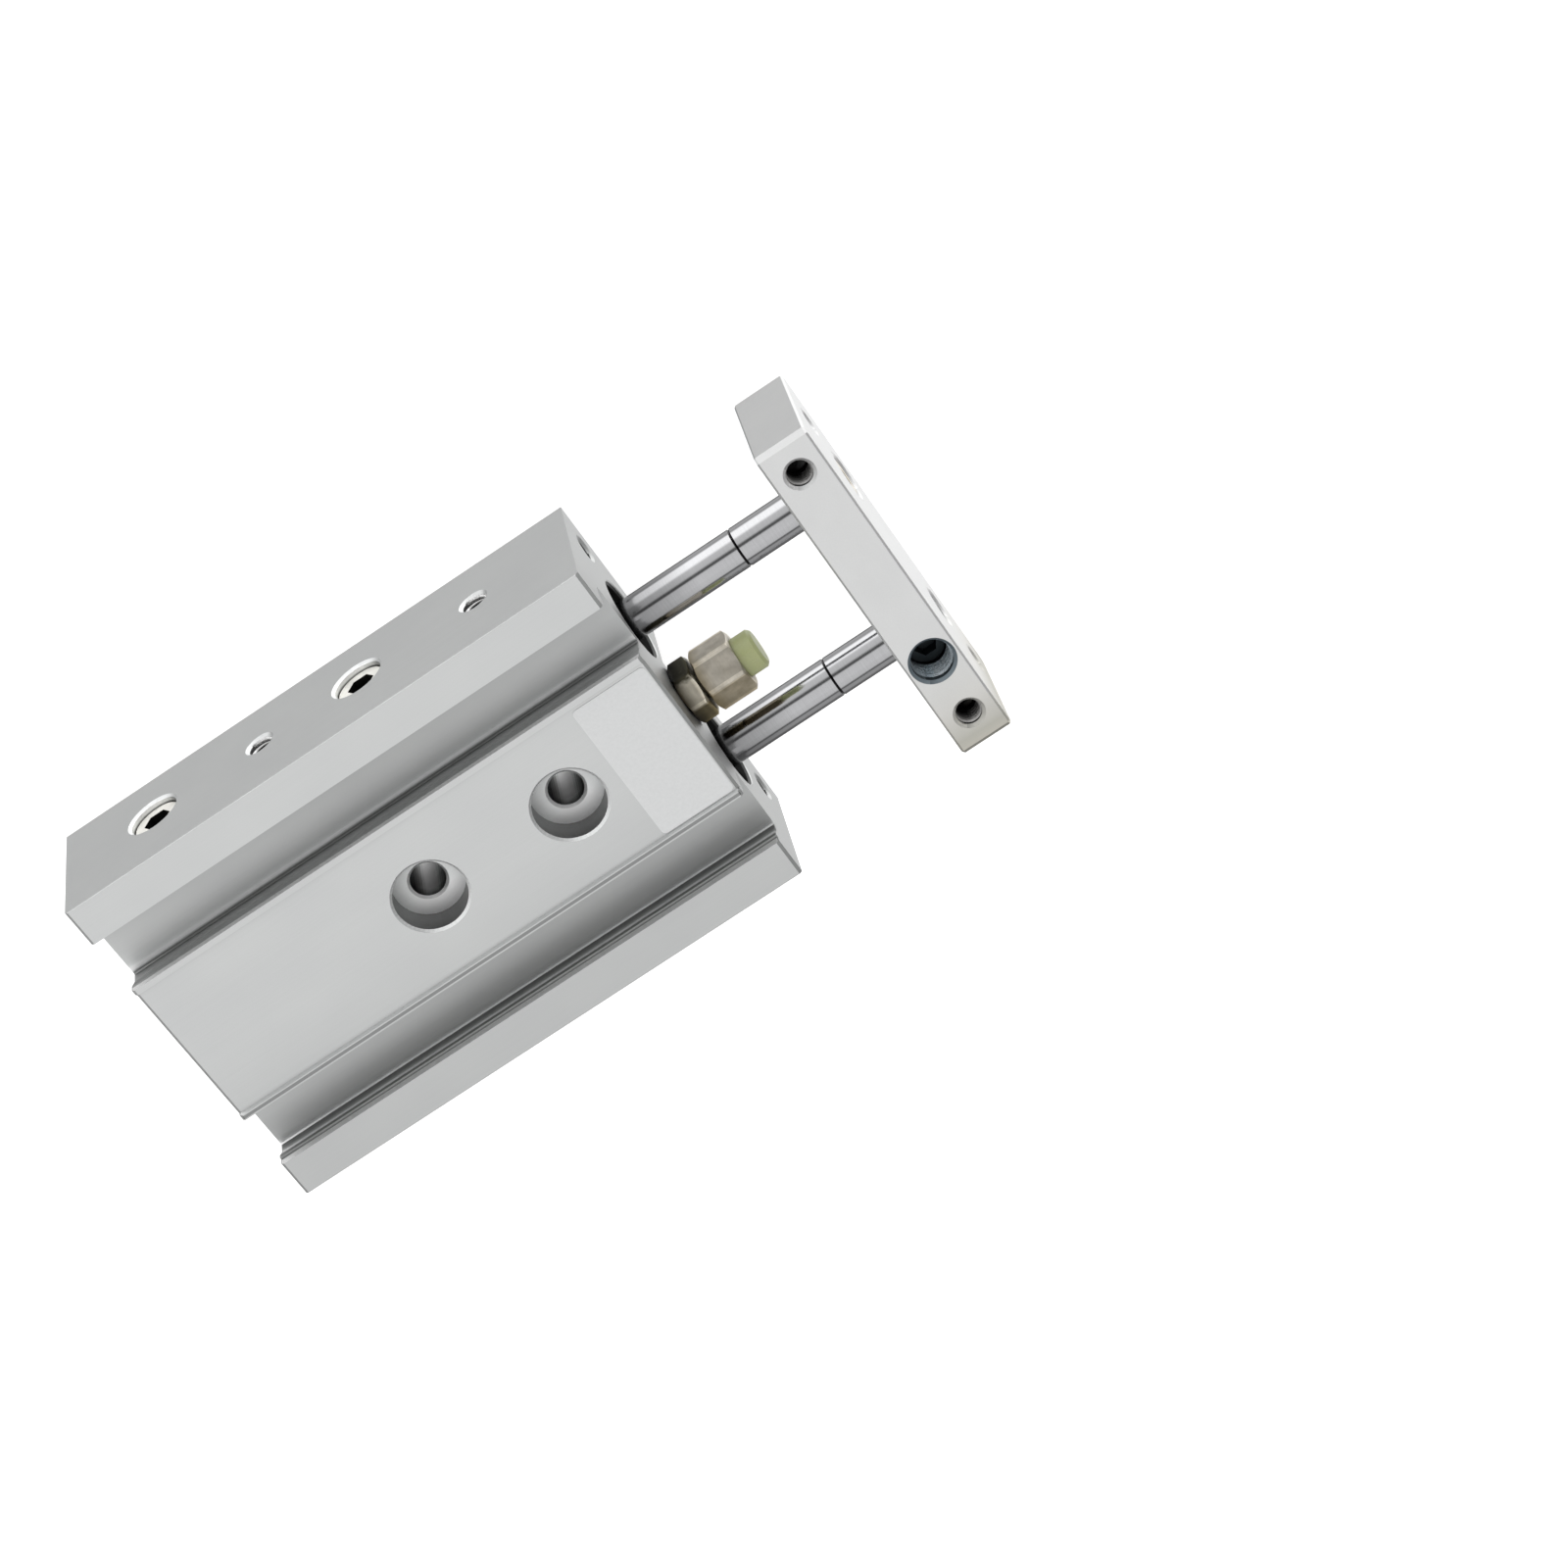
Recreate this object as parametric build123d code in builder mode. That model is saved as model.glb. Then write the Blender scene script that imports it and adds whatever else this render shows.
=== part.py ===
from build123d import *
import os

# Guided pneumatic cylinder: two parallel rods carry an end plate, a bolt between them stops it.
# Millimetres. +X runs along the rods towards the plate, +Z is up through the slotted face.
# The origin is on the flat base, midway between the two holes that fix the body down.
# The plate is drawn fully out.

# Body extrusion
stroke = 10.0
body_dead_length = 46.0
body_width = 37.0
body_height = 16.0
body_corner = 0.1
body_end_chamfer = 0.3
edge_break = 0.2

# Sensor slots along the top, one over each bore
slot_inner_edge = 8.55
slot_outer_edge = 14.5
slot_depth = 4.2
slot_undercut = 0.45
slot_lip_depth = 1.1
slot_lip_ledge = 0.2
slot_lip_thickness = 0.4
slot_wall_height = 1.5
slot_corner = 0.12
label_bed_depth = 0.35
label_bed_land = 0.6
label_bed_slope = 0.15

# Rod axes, bores and what closes them
rod_pitch = 16.0
rod_height = 6.5
rod_diameter = 4.0
bore_diameter = 6.0
head_bore_diameter = 7.4
head_bore_depth = 8.0
cover_bore_diameter = 8.0
cover_bore_depth = 21.8
mouth_chamfer = 0.3

# Fits, all radial or along the joint
running_gap = 0.03
piston_gap = 0.05
seal_gap = 0.02
seat_gap = 0.01
end_gap = 0.05

# Retaining rings
ring_thickness = 0.7
ring_groove_depth = 0.4
ring_radial_width = 0.9
ring_opening = 2.6
ring_lug_diameter = 1.5
ring_eye_diameter = 0.6
ring_eye_offset = 1.9
head_ring_inset = 1.0

# Head covers and rod covers
head_seal_section = 0.85
head_seal_inset = 2.2
head_cover_dimple = 2.4
head_cover_dimple_depth = 0.5
cover_length = 16.0
cover_seal_section = 0.95
cover_seal_inset = 4.0
cover_relief_depth = 0.3
cover_relief_length = 5.0
seal_groove_slack = 0.35
rod_seal_thickness = 1.6
rod_seal_slot_depth = 0.8
rod_seal_lip = 0.5
rod_seal_root = 0.75
retainer_thickness = 1.0
retainer_chamfer = 0.1

# Pistons
piston_length = 5.0
piston_groove_width = 1.5
piston_groove_depth = 0.8
piston_groove_inset = 1.6
magnet_length = 2.5
magnet_diameter = 5.5
magnet_hub_diameter = 3.8
magnet_chamfer = 0.1
holder_thickness = 1.5
piston_seal_chamfer = 0.25
rod_spigot_diameter = 2.6
cushion_length = 2.8
cushion_diameter = 5.4
cushion_chamfer = 0.3
rod_mark_width = 0.25
rod_mark_depth = 0.1
rod_mark_inset = 6.5

# Stroke adjuster between the rods
adjuster_height = 9.35
thread_diameter = 3.0
hexagon_width = 5.5
lock_nut_thickness = 2.0
lock_nut_gap = 0.3
lock_nut_turn = 7.0
hexagon_corner_chamfer = 0.25
bolt_head_length = 4.0
bolt_thread_length = 11.5
thread_depth_allowance = 0.8
bumper_diameter = 4.0
bumper_stem_diameter = 2.4
bumper_stem_length = 2.0
bumper_projection = 2.0
bumper_rim = 0.3
relief_width = 6.0
relief_depth = 1.3
relief_clearance = 0.7

# End plate
plate_thickness = 5.3
plate_width = 35.7
plate_height = 14.3
plate_base = 1.1
plate_corner = 0.5
plate_edge_break = 0.2
plate_screw_pitch = 28.8
plate_screw_depth = 4.5
rod_a_socket_depth = 1.0
rod_b_end_inset = 0.6

# Screw that holds rod A and set screw that clamps rod B
rod_screw_diameter = 2.5
rod_screw_head_diameter = 4.5
rod_screw_head_length = 2.3
rod_screw_head_room = 0.2
rod_screw_head_gap = 0.2
rod_screw_shank_gap = 0.1
rod_screw_length = 8.0
rod_screw_hexagon = 2.0
set_screw_diameter = 4.0
set_screw_length = 3.0
set_screw_hexagon = 2.0
socket_depth = 1.4

# Ports and fixing holes in the body
port_thread = 5.0
port_tap_drill = 4.2
port_depth = 4.6
port_rim = 0.25
port_height = 7.35
rear_port_inset = 1.8
front_port_inset = 1.6
air_passage = 1.6
plug_length = 3.2
plug_face_depth = 0.7
plug_chamfer = 0.15
plug_hexagon = 2.5
screw_tap_drill = 2.5
screw_rim = 0.3
side_screw_front_inset = 10.5
side_screw_pitch = 23.7
side_screw_height = 7.5
side_screw_depth = 4.5
end_screw_pitch = 30.0
end_screw_height = 3.3
through_hole_diameter = 3.4
through_hole_rim = 0.25
counterbore_diameter = 7.0
counterbore_depth = 3.3
counterbore_rim = 0.25
through_hole_front_inset = 13.4
through_hole_pitch = 15.4

# Places that follow from the sizes above
body_length = body_dead_length + stroke
front = through_hole_front_inset + through_hole_pitch / 2
rear = front - body_length
side = body_width / 2
head_step = rear + head_bore_depth
cover_step = front - cover_bore_depth
slot_floor = body_height - slot_depth
label_bed = body_height - label_bed_depth
label_bed_half_width = slot_inner_edge - label_bed_land
piston_front = cover_step - end_gap - cushion_length
piston_rear = piston_front - piston_length
magnet_rear = piston_rear - magnet_length
holder_rear = magnet_rear - holder_thickness
cover_front = cover_step + cover_length
seal_front = cover_front + rod_seal_thickness
retainer_front = seal_front + retainer_thickness
nut_rear = front + end_gap
nut_front = nut_rear + lock_nut_thickness
bolt_head_rear = nut_front + lock_nut_gap
bolt_head_front = bolt_head_rear + bolt_head_length
bumper_tip = bolt_head_front + bumper_projection
plate_rear = bumper_tip + end_gap + stroke
plate_front = plate_rear + plate_thickness
plate_middle = (plate_rear + plate_front) / 2
plate_top = plate_base + plate_height
rear_port = head_step + rear_port_inset
front_port = cover_step - front_port_inset
rod_sides = {"a": rod_pitch / 2, "b": -rod_pitch / 2}


def axial(y, z):
    """Plane that holds an axis along X: its x runs along +X and its y is the radius."""
    return Plane(origin=(0, y, z), x_dir=(1, 0, 0), z_dir=(0, -1, 0))


def turn(outline, y, z, mode=Mode.ADD):
    """Revolve an outline of (x, radius) points about the axis along X through y, z."""
    with BuildSketch(axial(y, z)) as half_section:
        with BuildLine():
            Polyline(*outline, close=True)
        make_face()
    revolve(half_section.sketch, axis=Axis((0, y, z), (1, 0, 0)), mode=mode)


def tube(start, length, outer, inner, chamfer_size=0.0):
    """Outline of a plain ring with both outer rims broken."""
    end = start + length
    return [
        (start, inner / 2),
        (start, outer / 2 - chamfer_size),
        (start + chamfer_size, outer / 2),
        (end - chamfer_size, outer / 2),
        (end, outer / 2 - chamfer_size),
        (end, inner / 2),
    ]


def drill(mouth, inward, diameter, depth, rim=0.0):
    """Cut a round hole with a chamfered mouth, starting at a point and going inward."""
    across = (0, 0, 1) if inward[2] == 0 else (1, 0, 0)
    plane = Plane(origin=mouth, x_dir=inward, z_dir=Vector(*inward).cross(Vector(*across)))
    radius = diameter / 2
    wall = [(rim, radius), (depth, radius)] if rim else [(depth, radius)]
    with BuildSketch(plane) as half_section:
        with BuildLine():
            Polyline((0, 0), (0, radius + rim), *wall, (depth, 0), close=True)
        make_face()
    revolve(half_section.sketch, axis=Axis(mouth, inward), mode=Mode.SUBTRACT)


def hexagon_bar(start, length, y, z, across_flats, mode=Mode.ADD, angle=0.0):
    """Hexagonal prism along X, with two flats facing the sides when the angle is 0."""
    with BuildSketch(Plane.YZ.offset(start)) as hexagon:
        with Locations((y, z)):
            RegularPolygon(across_flats / 2, 6, major_radius=False, rotation=30 + angle)
    extrude(hexagon.sketch, amount=length, mode=mode)


def hexagon_envelope(start, length, across_flats):
    """Turned outline that cuts the corners of a hexagon back to its flats at both ends."""
    corner = across_flats / 3 ** 0.5
    flat = across_flats / 2
    end = start + length
    rim_start = (start + hexagon_corner_chamfer, corner)
    rim_end = (end - hexagon_corner_chamfer, corner)
    return [(start, 0), (start, flat), rim_start, rim_end, (end, flat), (end, 0)]


def retaining_ring(start, bore, y):
    """Open spring ring in a groove of a bore, with an eye in each end."""
    outer = bore / 2 + ring_groove_depth - seat_gap
    inner = bore / 2 - ring_radial_width
    eye_z = -(inner ** 2 - ring_eye_offset ** 2) ** 0.5
    eyes = [(y + direction * ring_eye_offset, rod_height + eye_z) for direction in (1, -1)]
    with BuildSketch(Plane.YZ.offset(start)) as spring:
        with Locations((y, rod_height)):
            Circle(outer)
            Circle(inner, mode=Mode.SUBTRACT)
        with Locations(*eyes):
            Circle(ring_lug_diameter / 2)
        with Locations((y, rod_height - outer)):
            Rectangle(ring_opening, 2 * outer, mode=Mode.SUBTRACT)
        with Locations(*eyes):
            Circle(ring_eye_diameter / 2, mode=Mode.SUBTRACT)
    extrude(spring.sketch, amount=ring_thickness)


def o_ring(centre_x, groove_radius, section, y):
    """Round-section ring that fills its groove."""
    with BuildSketch(axial(y, rod_height)) as cord:
        with Locations((centre_x, groove_radius + section / 2)):
            Circle(section / 2 - seat_gap)
    revolve(cord.sketch, axis=Axis((0, y, rod_height), (1, 0, 0)))


def grooved(outline_start, outline_end, radius, centre_x, width, depth):
    """Points of a turned edge with one square groove."""
    return [
        (outline_start, radius),
        (centre_x - width / 2, radius),
        (centre_x - width / 2, radius - depth),
        (centre_x + width / 2, radius - depth),
        (centre_x + width / 2, radius),
        (outline_end, radius),
    ]


def break_top_edges(half_width, top):
    """Cut the front and rear edges of a top surface back at 45 degrees."""
    for end_x, outward in ((front, 1), (rear, -1)):
        with BuildSketch(Plane.XZ.offset(-half_width)) as wedge:
            with BuildLine():
                Polyline(
                    (end_x - outward * body_end_chamfer, top),
                    (end_x + outward * body_end_chamfer, top + 2 * body_end_chamfer),
                    (end_x + outward * body_end_chamfer, top - 2 * body_end_chamfer),
                    close=True,
                )
            make_face()
        extrude(wedge.sketch, amount=2 * half_width, mode=Mode.SUBTRACT)


# Cylinder body: extruded section, then bores, ports and fixing holes
lip_inner_edge = slot_outer_edge - slot_lip_ledge
pocket_outer_edge = lip_inner_edge + slot_undercut
pocket_inner_edge = slot_inner_edge - slot_undercut
lip_top = body_height - slot_lip_depth
lip_bottom = lip_top - slot_lip_thickness
pocket_top = slot_floor + slot_wall_height
slot_outline = [
    (pocket_inner_edge + slot_corner, slot_floor),
    (pocket_outer_edge - slot_corner, slot_floor),
    (pocket_outer_edge, slot_floor + slot_corner),
    (pocket_outer_edge, pocket_top),
    (lip_inner_edge, lip_bottom),
    (lip_inner_edge, lip_top),
    (slot_outer_edge, lip_top),
    (slot_outer_edge, body_height + slot_lip_depth),
    (slot_inner_edge, body_height + slot_lip_depth),
    (slot_inner_edge, lip_top),
    (pocket_inner_edge, pocket_top),
    (pocket_inner_edge, slot_floor + slot_corner),
]
label_bed_floor_half_width = label_bed_half_width - label_bed_slope
label_bed_outline = [
    (-label_bed_floor_half_width, label_bed),
    (label_bed_floor_half_width, label_bed),
    (label_bed_half_width, body_height),
    (-label_bed_half_width, body_height),
]
through_hole_x = [-through_hole_pitch / 2, through_hole_pitch / 2]
side_screw_x = [
    front - side_screw_front_inset - side_screw_pitch,
    front - side_screw_front_inset,
]
cover_groove = (retainer_front, retainer_front + ring_thickness + 2 * seat_gap)
head_groove = (rear + head_ring_inset, rear + head_ring_inset + ring_thickness + 2 * seat_gap)
adjuster_hole_depth = bolt_thread_length - lock_nut_thickness - lock_nut_gap + thread_depth_allowance
stepped_bore = [
    (rear, 0),
    (rear, head_bore_diameter / 2 + mouth_chamfer),
    (rear + mouth_chamfer, head_bore_diameter / 2),
    (head_groove[0], head_bore_diameter / 2),
    (head_groove[0], head_bore_diameter / 2 + ring_groove_depth),
    (head_groove[1], head_bore_diameter / 2 + ring_groove_depth),
    (head_groove[1], head_bore_diameter / 2),
    (head_step, head_bore_diameter / 2),
    (head_step, bore_diameter / 2),
    (cover_step, bore_diameter / 2),
    (cover_step, cover_bore_diameter / 2),
    (cover_groove[0], cover_bore_diameter / 2),
    (cover_groove[0], cover_bore_diameter / 2 + ring_groove_depth),
    (cover_groove[1], cover_bore_diameter / 2 + ring_groove_depth),
    (cover_groove[1], cover_bore_diameter / 2),
    (front - mouth_chamfer, cover_bore_diameter / 2),
    (front, cover_bore_diameter / 2 + mouth_chamfer),
    (front, 0),
]

with BuildPart() as cylinder_body:
    with BuildSketch(Plane.YZ.offset(rear)) as section:
        with Locations((0, body_height / 2)):
            Rectangle(body_width, body_height)
        fillet(section.vertices(), body_corner)
        for direction in (1, -1):
            with BuildLine():
                Polyline(*[(direction * y, z) for y, z in slot_outline], close=True)
            make_face(mode=Mode.SUBTRACT)
        with BuildLine():
            Polyline(*label_bed_outline, close=True)
        make_face(mode=Mode.SUBTRACT)
    extrude(amount=body_length)
    for half_width, top in ((side, body_height), (label_bed_half_width, label_bed)):
        break_top_edges(half_width, top)
    for y in rod_sides.values():
        turn(stepped_bore, y, rod_height, mode=Mode.SUBTRACT)
    for x in (rear_port, front_port):
        drill((x, side, port_height), (0, -1, 0), port_thread + 2 * seat_gap, port_depth, port_rim)
        drill((x, -side, port_height), (0, 1, 0), port_tap_drill, port_depth, port_rim)
        drill((x, side - port_depth, port_height), (0, -1, 0), air_passage, body_width - 2 * port_depth)
    for x in side_screw_x:
        drill((x, side, side_screw_height), (0, -1, 0), screw_tap_drill, side_screw_depth, screw_rim)
    for y in (end_screw_pitch / 2, -end_screw_pitch / 2):
        drill((rear, y, end_screw_height), (1, 0, 0), screw_tap_drill, body_length / 2, screw_rim)
        drill((front, y, end_screw_height), (-1, 0, 0), screw_tap_drill, body_length / 2, screw_rim)
    counterbore_floor = label_bed - counterbore_depth
    for x in through_hole_x:
        floor_centre = (x, 0, counterbore_floor)
        drill((x, 0, label_bed), (0, 0, -1), counterbore_diameter, counterbore_depth, counterbore_rim)
        drill(floor_centre, (0, 0, -1), through_hole_diameter, counterbore_floor, through_hole_rim)
        drill((x, 0, 0), (0, 0, 1), through_hole_diameter, counterbore_floor / 2, through_hole_rim)
    adjuster_hole = thread_diameter + 2 * running_gap
    drill((front, 0, adjuster_height), (-1, 0, 0), adjuster_hole, adjuster_hole_depth, edge_break)
    relief_top = adjuster_height - relief_clearance - thread_diameter / 2
    with BuildSketch(Plane.YZ.offset(front)) as relief:
        with Locations((0, relief_top / 2)):
            Rectangle(relief_width, relief_top)
    extrude(amount=-relief_depth, mode=Mode.SUBTRACT)

# Head covers close the rear ends of the bores
head_cover_rear = head_groove[0] + ring_thickness + 2 * seat_gap
head_cover_radius = head_bore_diameter / 2 - seat_gap
head_seal_x = head_step - head_seal_inset


def head_cover_outline():
    """Plug with one seal groove and a shallow dimple in its rear face."""
    groove = grooved(
        head_cover_rear,
        head_step,
        head_cover_radius,
        head_seal_x,
        head_seal_section + seal_groove_slack,
        head_seal_section,
    )
    dimple_floor = head_cover_rear + head_cover_dimple_depth
    return groove + [(head_step, 0), (dimple_floor, 0), (head_cover_rear, head_cover_dimple / 2)]


with BuildPart() as head_cover_a:
    turn(head_cover_outline(), rod_sides["a"], rod_height)

with BuildPart() as head_cover_b:
    turn(head_cover_outline(), rod_sides["b"], rod_height)

with BuildPart() as head_seal_a:
    o_ring(head_seal_x, head_cover_radius - head_seal_section, head_seal_section, rod_sides["a"])

with BuildPart() as head_seal_b:
    o_ring(head_seal_x, head_cover_radius - head_seal_section, head_seal_section, rod_sides["b"])

with BuildPart() as head_retaining_rings:
    for y in rod_sides.values():
        retaining_ring(head_groove[0] + seat_gap, head_bore_diameter, y)

# Rod covers guide the rods at the front ends of the bores
cover_radius = cover_bore_diameter / 2 - seat_gap
cover_seal_x = cover_step + cover_seal_inset
rod_guide = rod_diameter / 2 + running_gap


def rod_cover_outline():
    """Bearing sleeve with an outer seal groove and a relief along the middle of its bore."""
    relief_start = (cover_step + cover_front - cover_relief_length) / 2
    relief_end = relief_start + cover_relief_length
    outer = grooved(
        cover_step,
        cover_front,
        cover_radius,
        cover_seal_x,
        cover_seal_section + seal_groove_slack,
        cover_seal_section,
    )
    return outer + [
        (cover_front, rod_guide),
        (relief_end, rod_guide),
        (relief_end, rod_guide + cover_relief_depth),
        (relief_start, rod_guide + cover_relief_depth),
        (relief_start, rod_guide),
        (cover_step, rod_guide),
    ]


def rod_seal_outline():
    """Lip seal: a block with a slot behind the lip that faces the pressure."""
    outer = cover_bore_diameter / 2 - seat_gap
    inner = rod_diameter / 2 + seal_gap
    slot_end = cover_front + rod_seal_slot_depth
    return [
        (cover_front, outer),
        (seal_front, outer),
        (seal_front, inner + rod_seal_lip / 2),
        (cover_front, inner),
        (cover_front, inner + rod_seal_lip),
        (slot_end, inner + rod_seal_root),
        (cover_front, outer - rod_seal_lip),
    ]


with BuildPart() as rod_cover_a:
    turn(rod_cover_outline(), rod_sides["a"], rod_height)

with BuildPart() as rod_cover_b:
    turn(rod_cover_outline(), rod_sides["b"], rod_height)

with BuildPart() as cover_seal_a:
    o_ring(cover_seal_x, cover_radius - cover_seal_section, cover_seal_section, rod_sides["a"])

with BuildPart() as cover_seal_b:
    o_ring(cover_seal_x, cover_radius - cover_seal_section, cover_seal_section, rod_sides["b"])

with BuildPart() as rod_seal_a:
    turn(rod_seal_outline(), rod_sides["a"], rod_height)

with BuildPart() as rod_seal_b:
    turn(rod_seal_outline(), rod_sides["b"], rod_height)

retainer_bore = 2 * (rod_guide + running_gap)
retainer = tube(seal_front, retainer_thickness, 2 * cover_radius, retainer_bore, retainer_chamfer)

with BuildPart() as seal_retainer_a:
    turn(retainer, rod_sides["a"], rod_height)

with BuildPart() as seal_retainer_b:
    turn(retainer, rod_sides["b"], rod_height)

with BuildPart() as rod_retaining_rings:
    for y in rod_sides.values():
        retaining_ring(cover_groove[0] + seat_gap, cover_bore_diameter, y)

# Pistons, each with a seal, a magnet and the holder that keeps the magnet
piston_radius = bore_diameter / 2 - piston_gap
spigot_hole = rod_spigot_diameter / 2 + seat_gap
piston_groove_x = piston_front - piston_groove_inset


def piston_outline():
    """Piston crown with a seal groove and a hub behind it for the magnet."""
    crown = grooved(
        piston_rear, piston_front, piston_radius, piston_groove_x, piston_groove_width, piston_groove_depth
    )
    return crown + [
        (piston_front, spigot_hole),
        (magnet_rear, spigot_hole),
        (magnet_rear, magnet_hub_diameter / 2),
        (piston_rear, magnet_hub_diameter / 2),
    ]


piston_seal = tube(
    piston_groove_x - piston_groove_width / 2 + seat_gap,
    piston_groove_width - 2 * seat_gap,
    bore_diameter - 2 * seal_gap,
    2 * (piston_radius - piston_groove_depth + seat_gap),
    piston_seal_chamfer,
)
magnet_bore = magnet_hub_diameter + 2 * seat_gap
magnet = tube(magnet_rear, magnet_length, magnet_diameter, magnet_bore, magnet_chamfer)
magnet_holder = tube(holder_rear, holder_thickness, magnet_diameter, 2 * spigot_hole, edge_break)
cushion_bore = rod_diameter + 2 * seat_gap
cushion = tube(piston_front, cushion_length, cushion_diameter, cushion_bore, cushion_chamfer)

with BuildPart() as piston_a:
    turn(piston_outline(), rod_sides["a"], rod_height)

with BuildPart() as piston_b:
    turn(piston_outline(), rod_sides["b"], rod_height)

with BuildPart() as piston_seal_a:
    turn(piston_seal, rod_sides["a"], rod_height)

with BuildPart() as piston_seal_b:
    turn(piston_seal, rod_sides["b"], rod_height)

with BuildPart() as magnet_a:
    turn(magnet, rod_sides["a"], rod_height)

with BuildPart() as magnet_b:
    turn(magnet, rod_sides["b"], rod_height)

with BuildPart() as magnet_holder_a:
    turn(magnet_holder, rod_sides["a"], rod_height)

with BuildPart() as magnet_holder_b:
    turn(magnet_holder, rod_sides["b"], rod_height)

with BuildPart() as stop_cushion_a:
    turn(cushion, rod_sides["a"], rod_height)

with BuildPart() as stop_cushion_b:
    turn(cushion, rod_sides["b"], rod_height)

# Piston rods: spigot for the piston, plated shank, thin ring mark near the plate
rod_mark = plate_rear - rod_mark_inset
rod_a_end = plate_rear + rod_a_socket_depth
rod_b_end = plate_front - rod_b_end_inset


def piston_rod_outline(end):
    """Half section of a rod that ends at a given place in the plate."""
    shank = rod_diameter / 2
    return [
        (holder_rear, 0),
        (holder_rear, rod_spigot_diameter / 2 - edge_break),
        (holder_rear + edge_break, rod_spigot_diameter / 2),
        (piston_front, rod_spigot_diameter / 2),
        (piston_front, shank),
        (rod_mark - rod_mark_width / 2, shank),
        (rod_mark, shank - rod_mark_depth),
        (rod_mark + rod_mark_width / 2, shank),
        (end - edge_break, shank),
        (end, shank - edge_break),
        (end, 0),
    ]


rod_screw_seat = plate_front - rod_screw_head_length - rod_screw_head_room
rod_screw_tip = rod_screw_seat - rod_screw_length
rod_thread_depth = rod_a_end - rod_screw_tip + edge_break

with BuildPart() as piston_rod_a:
    turn(piston_rod_outline(rod_a_end), rod_sides["a"], rod_height)
    thread_mouth = (rod_a_end, rod_sides["a"], rod_height)
    drill(thread_mouth, (-1, 0, 0), rod_screw_diameter + 2 * seat_gap, rod_thread_depth)

with BuildPart() as piston_rod_b:
    turn(piston_rod_outline(rod_b_end), rod_sides["b"], rod_height)

# End plate
with BuildPart() as end_plate:
    with BuildSketch(Plane.YZ.offset(plate_rear)) as plate_section:
        with Locations((0, plate_base + plate_height / 2)):
            Rectangle(plate_width, plate_height)
        chamfer(plate_section.vertices(), plate_corner)
    extrude(amount=plate_thickness)
    for end_face in end_plate.faces().filter_by(Axis.X):
        chamfer(end_face.edges(), plate_edge_break)
    rod_a_place = (rod_sides["a"], rod_height)
    rod_b_place = (rod_sides["b"], rod_height)
    drill((plate_rear, *rod_a_place), (1, 0, 0), rod_diameter + 2 * seat_gap, rod_a_socket_depth)
    shank_hole = rod_screw_diameter + 2 * rod_screw_shank_gap
    drill((plate_rear, *rod_a_place), (1, 0, 0), shank_hole, plate_thickness)
    head_hole = rod_screw_head_diameter + 2 * rod_screw_head_gap
    drill((plate_front, *rod_a_place), (-1, 0, 0), head_hole, plate_front - rod_screw_seat, edge_break)
    drill((plate_front, *rod_b_place), (-1, 0, 0), rod_diameter + 2 * seat_gap, plate_thickness, edge_break)
    set_screw_mouth = (plate_middle, rod_sides["b"], plate_top)
    set_screw_hole_depth = plate_top - rod_height
    drill(set_screw_mouth, (0, 0, -1), set_screw_diameter + 2 * seat_gap, set_screw_hole_depth, screw_rim)
    for y in (plate_screw_pitch / 2, -plate_screw_pitch / 2):
        drill((plate_middle, y, plate_top), (0, 0, -1), screw_tap_drill, plate_screw_depth, screw_rim)
        drill((plate_front, y, rod_height), (-1, 0, 0), screw_tap_drill, plate_thickness, screw_rim)

# Socket screw that holds rod A
with BuildPart() as rod_a_screw:
    head_radius = rod_screw_head_diameter / 2
    head_top = rod_screw_seat + rod_screw_head_length
    turn(
        [
            (rod_screw_tip, 0),
            (rod_screw_tip, rod_screw_diameter / 2 - edge_break),
            (rod_screw_tip + edge_break, rod_screw_diameter / 2),
            (rod_screw_seat, rod_screw_diameter / 2),
            (rod_screw_seat, head_radius),
            (head_top - edge_break, head_radius),
            (head_top, head_radius - edge_break),
            (head_top, 0),
        ],
        rod_sides["a"],
        rod_height,
    )
    hexagon_bar(head_top, -socket_depth, rod_sides["a"], rod_height, rod_screw_hexagon, Mode.SUBTRACT)

# Set screw that clamps rod B from the top of the plate
with BuildPart() as rod_b_set_screw:
    with BuildSketch(Plane.XY.offset(rod_height + rod_diameter / 2)):
        with Locations((plate_middle, rod_sides["b"])):
            Circle(set_screw_diameter / 2)
    extrude(amount=set_screw_length)
    chamfer(rod_b_set_screw.edges().filter_by(GeomType.CIRCLE), edge_break)
    with BuildSketch(Plane.XY.offset(rod_height + rod_diameter / 2 + set_screw_length)):
        with Locations((plate_middle, rod_sides["b"])):
            RegularPolygon(set_screw_hexagon / 2, 6, major_radius=False)
    extrude(amount=-socket_depth, mode=Mode.SUBTRACT)

# Stroke adjusting bolt: hexagon head, thread into the body, pocket for the bumper stem
with BuildPart() as bumper_bolt:
    hexagon_bar(bolt_head_rear, bolt_head_length, 0, adjuster_height, hexagon_width)
    turn(
        hexagon_envelope(bolt_head_rear, bolt_head_length, hexagon_width),
        0,
        adjuster_height,
        mode=Mode.INTERSECT,
    )
    bolt_tip = bolt_head_rear - bolt_thread_length
    turn(
        [
            (bolt_tip, 0),
            (bolt_tip, thread_diameter / 2 - edge_break),
            (bolt_tip + edge_break, thread_diameter / 2),
            (bolt_head_rear, thread_diameter / 2),
            (bolt_head_rear, 0),
        ],
        0,
        adjuster_height,
    )
    pocket_mouth = (bolt_head_front, 0, adjuster_height)
    drill(pocket_mouth, (-1, 0, 0), bumper_stem_diameter + 2 * seat_gap, bumper_stem_length)

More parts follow.
